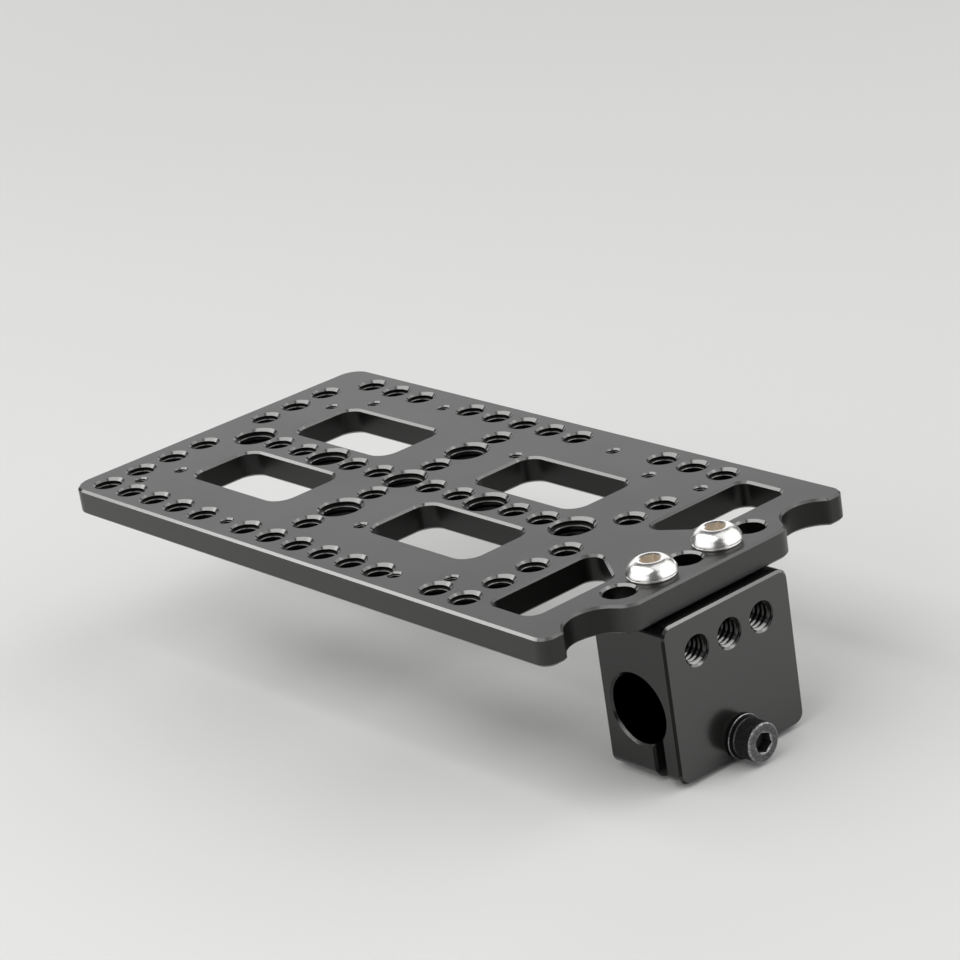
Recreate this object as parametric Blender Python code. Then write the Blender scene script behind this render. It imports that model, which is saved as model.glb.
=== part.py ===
"""Camera cheese plate on a rod clamp: a milled plate, its clamp block, three screws and a washer.

The origin is the middle of the rod bore's axis. +X runs along the plate to its clamp end,
+Y runs along the rod and +Z points up out of the plate's top face. Sizes are in metres.
"""

from math import atan2, cos, hypot, pi, radians, sin, sqrt, tan

import bmesh
import bpy
from mathutils import Matrix, Vector

# Plate: body
PLATE_WIDTH = 0.0840
PLATE_THICKNESS = 0.0060
END_MARGIN = 0.0072
TONGUE_MARGIN = 0.0074
CORNER_RADIUS = 0.0050
EDGE_CHAMFER = 0.0005

# Plate: hollow shoulders, ears and tongue
HOLLOW_RADIUS = 0.0075
HOLLOW_DEPTH = 0.0070
EAR_WIDTH = 0.0120
TONGUE_RADIUS = 0.0045
EAR_SETBACK = 0.0030
EAR_RADIUS = 0.0030
EAR_TIP_RADIUS = 0.0010

# Plate: hole pattern
HOLE_PITCH = 0.0090
HOLE_SPAN = 0.1236
EDGE_ROW_MARGIN = 0.0060
ROW_CLEARANCE = 0.0081
TONGUE_STEP = 0.0250
QUARTER_TAP = 0.0051
QUARTER_RIM = 0.0072
THREE_EIGHTHS_TAP = 0.0079
THREE_EIGHTHS_RIM = 0.0104
ACCESSORY_TAP = 0.0026
ACCESSORY_RIM = 0.0034

# Plate: windows and slots
WINDOW_LENGTH = 0.0330
WINDOW_MARGIN = 0.0185
WINDOW_RADIUS = 0.0038
COLUMN_WEB = 0.0298
ROW_WEB = 0.0120
SLOT_WIDTH = 0.0131
SLOT_TO_TONGUE_ROW = 0.0061
SLOT_MARGIN = 0.0066
SLOT_INNER_END = 0.0055
SLOT_SLANT = radians(32.0)
SLOT_RADIUS = 0.0028

# Accessory hole patterns
ARM_PATTERN_LENGTH = 0.0650
ARM_PATTERN_WIDTH = 0.0440
ARM_PATTERN_START = 0.0091
ARM_PATTERN_SHIFT = 0.0004
OUTER_PAIR_SPACING = 0.0570
FRONT_PAIR_START = 0.0446
FRONT_PAIR_MARGIN = 0.0061
REAR_PAIR_START = 0.0352
REAR_PAIR_MARGIN = 0.0080
WIDE_PAIR_SPACING = 0.0924
WIDE_PAIR_START = 0.0172
WIDE_PAIR_MARGIN = 0.0141
CORNER_PAIR_SPACING = 0.1082
CORNER_PAIR_START = 0.0054
CORNER_PAIR_MARGIN = 0.0111
LONE_HOLE_STEP = 0.0155

# Rod clamp block
BLOCK_LENGTH = 0.0200
BLOCK_WIDTH = 0.0350
BLOCK_HEIGHT = 0.0340
BLOCK_CORNER_RADIUS = 0.0025
BLOCK_CHAMFER = 0.0005
ROD_DIAMETER = 0.0150
BORE_TO_PLATE = 0.0197
SLIT_OFFSET = 0.0045
SLIT_WIDTH = 0.0025
SLIT_INTO_BORE = 0.0010
END_HOLE_DROP = 0.0079
END_HOLE_DEPTH = 0.0050
END_HOLE_RIM = 0.0067
BLOCK_SCREW_HOLE_DEPTH = 0.0065

# Plate screws
PLATE_SCREW_DIAMETER = 0.0060
PLATE_SCREW_LENGTH = 0.0120
PLATE_SCREW_HEAD = 0.0105
PLATE_SCREW_HEAD_HEIGHT = 0.0033
PLATE_SCREW_LIP = 0.00055
PLATE_SCREW_LIP_BREAK = 0.0002
PLATE_SCREW_FLAT = 0.0056
PLATE_SCREW_KEY = 0.0040
PLATE_SCREW_KEY_DEPTH = 0.0021
TONGUE_HOLE_PLAY = 0.00035
TONGUE_HOLE_CHAMFER = 0.0005

# Clamp screw and its washer
CLAMP_SCREW_DIAMETER = 0.0049
CLAMP_SCREW_LENGTH = 0.0160
CLAMP_SCREW_HEAD = 0.0083
CLAMP_SCREW_HEAD_HEIGHT = 0.0048
CLAMP_SCREW_RIM = 0.0004
CLAMP_SCREW_KEY = 0.0040
CLAMP_SCREW_KEY_DEPTH = 0.0025
WASHER_DIAMETER = 0.0095
WASHER_HOLE = 0.0055
WASHER_THICKNESS = 0.0005
WASHER_CHAMFER = 0.0001
CLAMP_SCREW_HOLE_SPARE = 0.0013
BORE_TO_CLAMP_SCREW = 0.00025

# Gap between seated pieces, screw ends, drilled points and how far a cutter passes a face
SEAT_GAP = 0.0003
SCREW_END_CHAMFER = 0.0006
DRILL_POINT = radians(59.0)
DRILL_TIP_SHARE = 0.05
KEY_POINT = radians(20.0)
KEY_TIP_SHARE = 0.2
OVERCUT = 0.0001

# Facets
ROUND_STEPS = 18
QUARTER_STEPS = 14
ACCESSORY_STEPS = 8
BORE_STEPS = 48
HEAD_STEPS = 30
CORNER_STEPS = 5
DOME_STEPS = 6
TIP_STEPS = 2
SMOOTH_ANGLE = radians(30.0)

# Levels and lines that follow from the sizes above
PLATE_UNDERSIDE = BORE_TO_PLATE
PLATE_TOP = PLATE_UNDERSIDE + PLATE_THICKNESS
BLOCK_TOP = PLATE_UNDERSIDE - SEAT_GAP
BLOCK_BOTTOM = BLOCK_TOP - BLOCK_HEIGHT
LAST_COLUMN = -TONGUE_STEP
FIRST_COLUMN = LAST_COLUMN - HOLE_SPAN
MIDDLE_COLUMN = (FIRST_COLUMN + LAST_COLUMN) / 2
EDGE_ROW = PLATE_WIDTH / 2 - EDGE_ROW_MARGIN
COLUMN_HOLES = int((EDGE_ROW - ROW_CLEARANCE) / HOLE_PITCH)
HOLLOW_OFFSET = PLATE_WIDTH / 2 - EAR_WIDTH
WINDOW_WIDTH = (PLATE_WIDTH - ROW_WEB) / 2 - WINDOW_MARGIN
SLOT_OUTER_END = PLATE_WIDTH / 2 - SLOT_MARGIN
TONGUE_END = TONGUE_MARGIN
PLATE_END = FIRST_COLUMN - END_MARGIN
TONGUE_HOLE = PLATE_SCREW_DIAMETER + 2 * TONGUE_HOLE_PLAY
CLAMP_SCREW_HOLE = CLAMP_SCREW_DIAMETER + 2 * SEAT_GAP
CLAMP_SCREW_LEVEL = -(ROD_DIAMETER / 2 + BORE_TO_CLAMP_SCREW + CLAMP_SCREW_HOLE / 2)
CLAMP_HEAD_SEAT = BLOCK_LENGTH / 2 + 2 * SEAT_GAP + WASHER_THICKNESS

# Turns that lay a shape made along Z along X or along Y
ALONG_X = Matrix(((0, 0, 1, 0), (1, 0, 0, 0), (0, 1, 0, 0), (0, 0, 0, 1)))
ALONG_Y = Matrix(((0, 1, 0, 0), (0, 0, 1, 0), (1, 0, 0, 0), (0, 0, 0, 1)))


def clear_scene():
    """Remove every object of the open scene."""
    for obj in list(bpy.data.objects):
        bpy.data.objects.remove(obj, do_unlink=True)


def make_material(name, colour, metallic, roughness):
    """Return a Principled material."""
    material = bpy.data.materials.new(name)
    material.use_nodes = True
    shader = material.node_tree.nodes["Principled BSDF"]
    shader.inputs["Base Color"].default_value = (*colour, 1.0)
    shader.inputs["Metallic"].default_value = metallic
    shader.inputs["Roughness"].default_value = roughness
    return material


def arc(x, y, radius, start, end, steps, side=1):
    """Return an arc's samples: centre, radius, angle and the side its outline grows to."""
    return [(x, y, radius, start + (end - start) * i / steps, side) for i in range(steps + 1)]


def circle(x, y, radius, steps):
    """Return a full circle's samples, turned half a step so that a flat side faces +X."""
    return [(x, y, radius, 2 * pi * (i + 0.5) / steps, 1) for i in range(steps)]


def rounded_polygon(corners, radius, steps):
    """Return the samples of a convex polygon, given anticlockwise, with round corners."""
    samples = []
    count = len(corners)
    for i, (x, y) in enumerate(corners):
        before_x, before_y = corners[i - 1]
        after_x, after_y = corners[(i + 1) % count]
        into = atan2(y - before_y, x - before_x)
        out = atan2(after_y - y, after_x - x)
        turn = (out - into) % (2 * pi)
        reach = radius / cos(turn / 2)
        middle = into + turn / 2 - pi / 2
        samples += arc(
            x - reach * cos(middle), y - reach * sin(middle), radius,
            into - pi / 2, into - pi / 2 + turn, steps,
        )
    return samples


def rectangle(x, y, length, width):
    """Return the corners of a rectangle about its middle."""
    a, b = length / 2, width / 2
    return [(x - a, y - b), (x + a, y - b), (x + a, y + b), (x - a, y + b)]


def add_prism(bm, samples, levels, turn=Matrix.Identity(4)):
    """Add a closed solid of one outline at several levels, each (height, growth)."""
    rings = []
    for height, growth in levels:
        ring = []
        for x, y, radius, angle, side in samples:
            reach = radius + side * growth
            point = Vector((x + reach * cos(angle), y + reach * sin(angle), height))
            ring.append(bm.verts.new(turn @ point))
        rings.append(ring)
    count = len(samples)
    for low, high in zip(rings, rings[1:]):
        for i in range(count):
            j = (i + 1) % count
            bm.faces.new((low[i], low[j], high[j], high[i]))
    bm.faces.new(reversed(rings[0]))
    bm.faces.new(rings[-1])


def slab_levels(bottom, top, chamfer):
    """Return the levels of a solid slab whose edges are chamfered at both faces."""
    return [(bottom, -chamfer), (bottom + chamfer, 0), (top - chamfer, 0), (top, -chamfer)]


def through_levels(bottom, top, chamfer):
    """Return the levels of a through cut, flared at both faces by its chamfer."""
    flare = chamfer + OVERCUT
    return [(bottom - OVERCUT, flare), (bottom + chamfer, 0), (top - chamfer, 0), (top + OVERCUT, flare)]


def blind_levels(mouth, depth, radius, chamfer):
    """Return the levels of a drilled blind hole that opens upwards at its mouth."""
    narrowing = (1 - DRILL_TIP_SHARE) * radius
    tip = mouth - depth - narrowing / tan(DRILL_POINT)
    flare = chamfer + OVERCUT
    return [(tip, -narrowing), (mouth - depth, 0), (mouth - chamfer, 0), (mouth + OVERCUT, flare)]


def make_object(name, bm, material):
    """Turn a bmesh into a named, smooth-shaded object."""
    mesh = bpy.data.meshes.new(name)
    bm.to_mesh(mesh)
    bm.free()
    obj = bpy.data.objects.new(name, mesh)
    bpy.context.collection.objects.link(obj)
    if material:
        mesh.materials.append(material)
    shade(mesh)
    return obj


def shade(mesh):
    """Shade a mesh smooth, with its real edges kept sharp."""
    mesh.shade_smooth()
    mesh.set_sharp_from_angle(angle=SMOOTH_ANGLE)


def carve(obj, *cutters):
    """Cut solids out of an object, each with an exact Boolean that is then applied."""
    for bm in cutters:
        tool = make_object(obj.name + "_cutter", bm, None)
        cut = obj.modifiers.new("cut", "BOOLEAN")
        cut.operation = "DIFFERENCE"
        cut.solver = "EXACT"
        cut.use_self = True
        cut.object = tool
        result = obj.evaluated_get(bpy.context.evaluated_depsgraph_get())
        mesh = bpy.data.meshes.new_from_object(result)
        old = obj.data
        obj.modifiers.clear()
        obj.data = mesh
        mesh.name = obj.name
        bpy.data.meshes.remove(old)
        bpy.data.objects.remove(tool, do_unlink=True)
    shade(obj.data)


def tongue_corner():
    """Return the middle of the tongue's rear corner arc, which runs smoothly into the hollow."""
    reach = HOLLOW_RADIUS + TONGUE_RADIUS
    step = HOLLOW_RADIUS - HOLLOW_DEPTH + TONGUE_RADIUS
    return TONGUE_END - TONGUE_RADIUS, HOLLOW_OFFSET - sqrt(reach ** 2 - step ** 2)


def plate_outline():
    """Return the plate's outline, anticlockwise from the middle of the tongue's end."""
    half = PLATE_WIDTH / 2
    ear_end = TONGUE_END - EAR_SETBACK
    hollow_x = TONGUE_END - HOLLOW_DEPTH + HOLLOW_RADIUS
    tongue_x, tongue_y = tongue_corner()
    tip_x = ear_end - EAR_TIP_RADIUS
    tip_y = HOLLOW_OFFSET + sqrt((HOLLOW_RADIUS + EAR_TIP_RADIUS) ** 2 - (hollow_x - tip_x) ** 2)
    into_hollow = atan2(HOLLOW_OFFSET - tongue_y, hollow_x - tongue_x)
    out_of_hollow = atan2(HOLLOW_OFFSET - tip_y, hollow_x - tip_x)
    upper = arc(tongue_x, tongue_y, TONGUE_RADIUS, 0, into_hollow, CORNER_STEPS)
    hollow = arc(
        hollow_x, HOLLOW_OFFSET, HOLLOW_RADIUS,
        into_hollow + pi, out_of_hollow + pi, 2 * CORNER_STEPS, side=-1,
    )
    upper += hollow[1:-1]
    upper += arc(tip_x, tip_y, EAR_TIP_RADIUS, out_of_hollow, 0, TIP_STEPS)
    upper += arc(ear_end - EAR_RADIUS, half - EAR_RADIUS, EAR_RADIUS, 0, pi / 2, CORNER_STEPS)
    upper += arc(PLATE_END + CORNER_RADIUS, half - CORNER_RADIUS, CORNER_RADIUS, pi / 2, pi, CORNER_STEPS)
    lower = [(x, -y, radius, -angle, side) for x, y, radius, angle, side in reversed(upper)]
    return upper + lower


def quarter_inch_holes():
    """Return the places of the 1/4 inch tapped holes, along the edges and the middle lines."""
    rows = []
    front_from_left = range(0, 5)
    front_from_right = (0, 1, 3, 4, 5, 6, 7, 8)
    rear_from_right = (0, 1, 2, 5, 6, 7, 8, 9, 11, 12, 13)
    rows += [(FIRST_COLUMN + n * HOLE_PITCH, -EDGE_ROW) for n in front_from_left]
    rows += [(LAST_COLUMN - n * HOLE_PITCH, -EDGE_ROW) for n in front_from_right]
    rows += [(LAST_COLUMN - n * HOLE_PITCH, EDGE_ROW) for n in rear_from_right]
    rows += [(FIRST_COLUMN, n * HOLE_PITCH) for n in range(-COLUMN_HOLES, COLUMN_HOLES + 1) if n]
    rows += [(LAST_COLUMN, n * HOLE_PITCH) for n in range(-COLUMN_HOLES, COLUMN_HOLES) if n]
    rows += [(MIDDLE_COLUMN + n * HOLE_PITCH, 0) for n in (-5, -4, -2, -1, 1, 2, 4, 5)]
    rows += [(MIDDLE_COLUMN, n * HOLE_PITCH) for n in (-3, -1, 1, 3) if abs(n) <= COLUMN_HOLES]
    return rows


def three_eighths_holes():
    """Return the places of the 3/8 inch tapped holes on the two middle lines."""
    along = [(MIDDLE_COLUMN + n * HOLE_PITCH, 0) for n in (-6, -3, 0, 3, 6)]
    across = [(MIDDLE_COLUMN, n * HOLE_PITCH) for n in (-2, 2)]
    return along + across


def tongue_holes():
    """Return the places of the clearance holes across the tongue, over the rod's axis."""
    last = int(tongue_corner()[1] / HOLE_PITCH)
    return [(0, n * HOLE_PITCH) for n in range(-last, last + 1)]


def plate_screw_places():
    """Return the places of the two plate screws, in every other tongue hole."""
    return {"plate_screw_front": (0, -HOLE_PITCH), "plate_screw_rear": (0, HOLE_PITCH)}


def accessory_holes():
    """Return the places of the small tapped holes, which serve several accessory patterns."""
    places = []
    for x in (ARM_PATTERN_START, ARM_PATTERN_START + ARM_PATTERN_LENGTH):
        for side in (-1, 1):
            places.append((x, side * ARM_PATTERN_WIDTH / 2 - ARM_PATTERN_SHIFT))
    edge = PLATE_WIDTH / 2
    pairs = (
        (FRONT_PAIR_START, FRONT_PAIR_MARGIN - edge, OUTER_PAIR_SPACING),
        (REAR_PAIR_START, edge - REAR_PAIR_MARGIN, OUTER_PAIR_SPACING),
        (WIDE_PAIR_START, edge - WIDE_PAIR_MARGIN, WIDE_PAIR_SPACING),
        (CORNER_PAIR_START, CORNER_PAIR_MARGIN - edge, CORNER_PAIR_SPACING),
    )
    for start, y, spacing in pairs:
        places += [(start, y), (start + spacing, y)]
    places.append((WIDE_PAIR_START + WIDE_PAIR_SPACING + LONE_HOLE_STEP, edge - WIDE_PAIR_MARGIN))
    return [(FIRST_COLUMN + x, y) for x, y in places]


def window_outlines():
    """Return the four windows, one in each quarter between the middle lines."""
    windows = []
    for side_x in (-1, 1):
        for side_y in (-1, 1):
            x = MIDDLE_COLUMN + side_x * (COLUMN_WEB + WINDOW_LENGTH) / 2
            y = side_y * (ROW_WEB + WINDOW_WIDTH) / 2
            corners = rectangle(x, y, WINDOW_LENGTH, WINDOW_WIDTH)
            windows.append(rounded_polygon(corners, WINDOW_RADIUS, CORNER_STEPS))
    return windows


def slot_outlines():
    """Return the two slots, whose inner ends slant to keep metal round the plate screws."""
    right = -SLOT_TO_TONGUE_ROW
    left = right - SLOT_WIDTH
    slant = SLOT_WIDTH * tan(SLOT_SLANT)
    inner = [(left, SLOT_INNER_END), (right, SLOT_INNER_END + slant)]
    rear = inner + [(right, SLOT_OUTER_END), (left, SLOT_OUTER_END)]
    front = [(x, -y) for x, y in reversed(rear)]
    return [rounded_polygon(corners, SLOT_RADIUS, CORNER_STEPS) for corners in (front, rear)]


def hole_cutter(places, bore, rim, steps, bottom, top):
    """Return one mesh of through holes, countersunk at both faces from bore to rim."""
    bm = bmesh.new()
    levels = through_levels(bottom, top, (rim - bore) / 2)
    for x, y in places:
        add_prism(bm, circle(x, y, bore / 2, steps), levels)
    return bm


def build_plate(material):
    """Mill the plate from one slab."""
    slab = bmesh.new()
    faces = (PLATE_UNDERSIDE, PLATE_TOP)
    add_prism(slab, plate_outline(), slab_levels(*faces, EDGE_CHAMFER))
    plate = make_object("cheese_plate", slab, material)
    openings = bmesh.new()
    for outline in window_outlines() + slot_outlines():
        add_prism(openings, outline, through_levels(*faces, EDGE_CHAMFER))
    tongue_rim = TONGUE_HOLE + 2 * TONGUE_HOLE_CHAMFER
    carve(
        plate,
        openings,
        hole_cutter(quarter_inch_holes(), QUARTER_TAP, QUARTER_RIM, QUARTER_STEPS, *faces),
        hole_cutter(three_eighths_holes(), THREE_EIGHTHS_TAP, THREE_EIGHTHS_RIM, ROUND_STEPS, *faces),
        hole_cutter(tongue_holes(), TONGUE_HOLE, tongue_rim, ROUND_STEPS, *faces),
        hole_cutter(accessory_holes(), ACCESSORY_TAP, ACCESSORY_RIM, ACCESSORY_STEPS, *faces),
    )
    return plate


def build_block(material):
    """Mill the clamp block: a round-cornered bar with the rod bore, its slit and the tapped holes."""
    half = BLOCK_LENGTH / 2
    bar = bmesh.new()
    corners = rectangle(0, (BLOCK_TOP + BLOCK_BOTTOM) / 2, BLOCK_WIDTH, BLOCK_HEIGHT)
    outline = rounded_polygon(corners, BLOCK_CORNER_RADIUS, CORNER_STEPS)
    add_prism(bar, outline, slab_levels(-half, half, BLOCK_CHAMFER), ALONG_X)
    block = make_object("rod_clamp_block", bar, material)

    ends = through_levels(-BLOCK_WIDTH / 2, BLOCK_WIDTH / 2, BLOCK_CHAMFER)
    bore = bmesh.new()
    add_prism(bore, circle(0, 0, ROD_DIAMETER / 2, BORE_STEPS), ends, ALONG_Y)

    slit_top = SLIT_INTO_BORE - sqrt((ROD_DIAMETER / 2) ** 2 - (SLIT_OFFSET + SLIT_WIDTH / 2) ** 2)
    slit_bottom = BLOCK_BOTTOM - BLOCK_CHAMFER - OVERCUT
    corners = rectangle((slit_top + slit_bottom) / 2, SLIT_OFFSET, slit_top - slit_bottom, SLIT_WIDTH)
    slit = bmesh.new()
    add_prism(slit, sharp_corners(corners), ends, ALONG_Y)

    end_holes = bmesh.new()
    levels = blind_levels(half, END_HOLE_DEPTH, QUARTER_TAP / 2, (END_HOLE_RIM - QUARTER_TAP) / 2)
    for n in (-1, 0, 1):
        mouth = circle(n * HOLE_PITCH, PLATE_UNDERSIDE - END_HOLE_DROP, QUARTER_TAP / 2, ROUND_STEPS)
        add_prism(end_holes, mouth, levels, ALONG_X)

    top_holes = bmesh.new()
    radius = PLATE_SCREW_DIAMETER / 2 + SEAT_GAP
    levels = blind_levels(BLOCK_TOP, BLOCK_SCREW_HOLE_DEPTH, radius, BLOCK_CHAMFER)
    for x, y in plate_screw_places().values():
        add_prism(top_holes, circle(x, y, radius, ROUND_STEPS), levels)

    clamp_hole = bmesh.new()
    radius = CLAMP_SCREW_HOLE / 2
    reach = CLAMP_SCREW_LENGTH - (CLAMP_HEAD_SEAT - half) + CLAMP_SCREW_HOLE_SPARE
    levels = blind_levels(half, reach, radius, 0)
    add_prism(clamp_hole, circle(0, CLAMP_SCREW_LEVEL, radius, ROUND_STEPS), levels, ALONG_X)

    carve(block, bore, slit, end_holes, top_holes, clamp_hole)
    return block


def sharp_corners(corners):
    """Return the samples of a rectangle with sharp corners, each of which grows diagonally."""
    return [(x, y, 0, (2 * i - 3) * pi / 4, 1) for i, (x, y) in enumerate(corners)]


def hexagon(width):
    """Return a hexagon's samples, given the width across its flats."""
    return [(0, 0, width / sqrt(3), pi * i / 3, 1) for i in range(6)]


def key_socket(width, depth, top):
    """Return the cutter of a hexagon key socket with a drilled cone at its bottom."""
    bm = bmesh.new()
    narrowing = (1 - KEY_TIP_SHARE) * width / sqrt(3)
    tip = top - depth - narrowing * tan(KEY_POINT)
    add_prism(bm, hexagon(width), [(tip, -narrowing), (top - depth, 0), (top + OVERCUT, 0)])
    return bm


def build_screw(name, profile, key_width, key_depth, material, place):
    """Turn a screw from its profile of (height, radius) and cut its key socket."""
    bm = bmesh.new()
    add_prism(bm, circle(0, 0, 0, HEAD_STEPS), profile)
    screw = make_object(name, bm, material)
    carve(screw, key_socket(key_width, key_depth, profile[-1][0]))
    screw.matrix_world = place
    return screw


def button_head_profile():
    """Return a button head screw's profile, with its underside at height 0."""
    shank = PLATE_SCREW_DIAMETER / 2
    rim = PLATE_SCREW_HEAD / 2
    flat = PLATE_SCREW_FLAT / 2
    lip = PLATE_SCREW_LIP
    top = PLATE_SCREW_HEAD_HEIGHT
    centre = (top * top + flat * flat - lip * lip - rim * rim) / (2 * (top - lip))
    dome = hypot(rim, lip - centre)
    low, high = atan2(lip - centre, rim), atan2(top - centre, flat)
    angles = [low + (high - low) * i / DOME_STEPS for i in range(DOME_STEPS + 1)]
    return [
        (-PLATE_SCREW_LENGTH, shank - SCREW_END_CHAMFER),
        (-PLATE_SCREW_LENGTH + SCREW_END_CHAMFER, shank),
        (0, shank),
        (0, rim - PLATE_SCREW_LIP_BREAK),
        (PLATE_SCREW_LIP_BREAK, rim),
        *[(centre + dome * sin(a), dome * cos(a)) for a in angles],
    ]


def socket_head_profile():
    """Return a socket head cap screw's profile, with its underside at height 0."""
    shank = CLAMP_SCREW_DIAMETER / 2
    head = CLAMP_SCREW_HEAD / 2
    rim = CLAMP_SCREW_RIM
    return [
        (-CLAMP_SCREW_LENGTH, shank - SCREW_END_CHAMFER),
        (-CLAMP_SCREW_LENGTH + SCREW_END_CHAMFER, shank),
        (0, shank),
        (0, head - rim / 2),
        (rim / 2, head),
        (CLAMP_SCREW_HEAD_HEIGHT - rim, head),
        (CLAMP_SCREW_HEAD_HEIGHT, head - rim),
    ]


def build_screws(bright, black):
    """Make the two plate screws and the clamp screw."""
    for name, (x, y) in plate_screw_places().items():
        place = Matrix.Translation((x, y, PLATE_TOP + SEAT_GAP))
        build_screw(name, button_head_profile(), PLATE_SCREW_KEY, PLATE_SCREW_KEY_DEPTH, bright, place)
    place = Matrix.Translation((CLAMP_HEAD_SEAT, 0, CLAMP_SCREW_LEVEL)) @ ALONG_X
    build_screw("clamp_screw", socket_head_profile(), CLAMP_SCREW_KEY, CLAMP_SCREW_KEY_DEPTH, black, place)


def build_washer(material):
    """Make the thin washer between the clamp screw's head and the block."""
    bm = bmesh.new()
    seat = BLOCK_LENGTH / 2 + SEAT_GAP
    levels = slab_levels(seat, seat + WASHER_THICKNESS, WASHER_CHAMFER)
    add_prism(bm, circle(0, CLAMP_SCREW_LEVEL, WASHER_DIAMETER / 2, HEAD_STEPS), levels, ALONG_X)
    washer = make_object("clamp_washer", bm, material)
    hole = bmesh.new()
    levels = through_levels(seat, seat + WASHER_THICKNESS, WASHER_CHAMFER)
    add_prism(hole, circle(0, CLAMP_SCREW_LEVEL, WASHER_HOLE / 2, ROUND_STEPS), levels, ALONG_X)
    carve(washer, hole)


def main():
    clear_scene()
    plate_finish = make_material("black_anodised_plate", (0.035, 0.035, 0.036), 0.55, 0.42)
    block_finish = make_material("black_anodised_block", (0.030, 0.030, 0.031), 0.55, 0.45)
    bright_steel = make_material("bright_steel", (0.86, 0.85, 0.83), 1.0, 0.12)
    black_steel = make_material("black_oxide_steel", (0.012, 0.012, 0.012), 0.7, 0.35)
    washer_steel = make_material("black_washer_steel", (0.020, 0.020, 0.020), 0.8, 0.30)
    build_plate(plate_finish)
    build_block(block_finish)
    build_screws(bright_steel, black_steel)
    build_washer(washer_steel)


main()
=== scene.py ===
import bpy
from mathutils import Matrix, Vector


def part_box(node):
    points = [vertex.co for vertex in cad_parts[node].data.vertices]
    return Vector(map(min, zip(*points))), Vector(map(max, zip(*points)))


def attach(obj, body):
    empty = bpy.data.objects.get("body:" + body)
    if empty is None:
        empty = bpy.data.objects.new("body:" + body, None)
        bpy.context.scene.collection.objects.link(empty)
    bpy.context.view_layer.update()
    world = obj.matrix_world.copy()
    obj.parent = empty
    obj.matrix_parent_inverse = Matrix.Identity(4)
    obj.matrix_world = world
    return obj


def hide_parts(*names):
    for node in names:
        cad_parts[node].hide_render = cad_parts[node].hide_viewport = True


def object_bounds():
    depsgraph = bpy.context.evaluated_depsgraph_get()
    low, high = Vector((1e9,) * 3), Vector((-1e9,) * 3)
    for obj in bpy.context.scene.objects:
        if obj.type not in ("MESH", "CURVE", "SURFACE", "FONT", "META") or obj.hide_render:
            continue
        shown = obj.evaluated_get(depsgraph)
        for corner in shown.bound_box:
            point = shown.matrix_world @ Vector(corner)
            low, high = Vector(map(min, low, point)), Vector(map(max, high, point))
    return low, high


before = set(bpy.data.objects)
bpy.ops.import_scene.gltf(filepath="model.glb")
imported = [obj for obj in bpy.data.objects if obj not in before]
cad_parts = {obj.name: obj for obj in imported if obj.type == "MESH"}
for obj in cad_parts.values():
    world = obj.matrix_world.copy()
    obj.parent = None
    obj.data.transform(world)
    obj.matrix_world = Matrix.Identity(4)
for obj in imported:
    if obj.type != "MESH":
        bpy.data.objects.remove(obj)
CAD_BOX = [list(map(float, corner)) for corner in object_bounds()]

from math import atan2, cos, hypot, pi, radians, sin, sqrt, tan

import bmesh
import bpy
from bpy.props import FloatProperty, FloatVectorProperty, IntProperty, PointerProperty
from mathutils import Matrix, Vector

bl_info = {
    "name": "Camera cheese plate",
    "version": (1, 0, 0),
    "blender": (4, 5, 0),
    "location": "3D View > Sidebar > Cheese plate",
    "description": "A milled camera mounting plate with threaded holes, on its clamp block for a rod",
    "category": "Object",
}

PLATE_LOW, PLATE_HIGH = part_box("cheese_plate")
BLOCK_LOW, BLOCK_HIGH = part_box("rod_clamp_block")
WASHER_LOW, WASHER_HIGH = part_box("clamp_washer")
BUTTON_LOW, BUTTON_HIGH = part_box("plate_screw_front")
CLAMP_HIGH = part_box("clamp_screw")[1]

# Turns that lay a shape made along Z along X or along Y
ALONG_X = Matrix(((0, 0, 1, 0), (1, 0, 0, 0), (0, 1, 0, 0), (0, 0, 0, 1)))
ALONG_Y = Matrix(((0, 1, 0, 0), (0, 0, 1, 0), (1, 0, 0, 0), (0, 0, 0, 1)))

# How far a cutter passes a face, and how near doubled vertices are
EPSILON, MERGE = 0.0001, 0.000002
# Angles past which an edge is a corner to chamfer, and past which it is shaded sharp
CORNER_ANGLE, SHARP_ANGLE = 1.0, radians(30)


def length(name, default, description):
    """Return a length property."""
    return FloatProperty(
        name=name, description=description, default=float(default), unit="LENGTH", precision=5)


def tone(name, default, description):
    """Return a colour property."""
    return FloatVectorProperty(
        name=name, description=description, default=default, size=3, min=0, max=1, subtype="COLOR")


def share(name, default, description):
    """Return a property from 0 to 1."""
    return FloatProperty(name=name, description=description, default=default, min=0, max=1, subtype="FACTOR")


class PlateSizes(bpy.types.PropertyGroup):
    width: length("Width", PLATE_HIGH[1] - PLATE_LOW[1], "Size across the plate")
    underside: length("Underside", PLATE_LOW[2], "Height of the lower face")
    top: length("Top", PLATE_HIGH[2], "Height of the upper face")
    far_end: length("Far end", PLATE_LOW[0], "Place of the end away from the clamp")
    tongue_end: length("Tongue end", PLATE_HIGH[0], "Place of the end over the clamp")
    corner_radius: length("Corner radius", 0.0050, "Radius of the two far corners")
    chamfer: length("Edge chamfer", 0.0005, "Chamfer along the outline, windows and slots")
    hollow_radius: length("Hollow radius", 0.0075, "Radius of the two hollow shoulders")
    hollow_depth: length("Hollow depth", 0.0070, "How deep the hollows reach behind the tongue's end")
    hollow_offset: length("Hollow offset", 0.0300, "Distance of the hollows from the middle line")
    tongue_radius: length("Tongue radius", 0.0045, "Radius that runs from the tongue into a hollow")
    ear_setback: length("Ear setback", 0.0030, "How far the ears end behind the tongue")
    ear_radius: length("Ear radius", 0.0030, "Radius of the ears' outer corners")
    ear_tip_radius: length("Ear tip radius", 0.0010, "Radius between an ear's end and its hollow")


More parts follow.
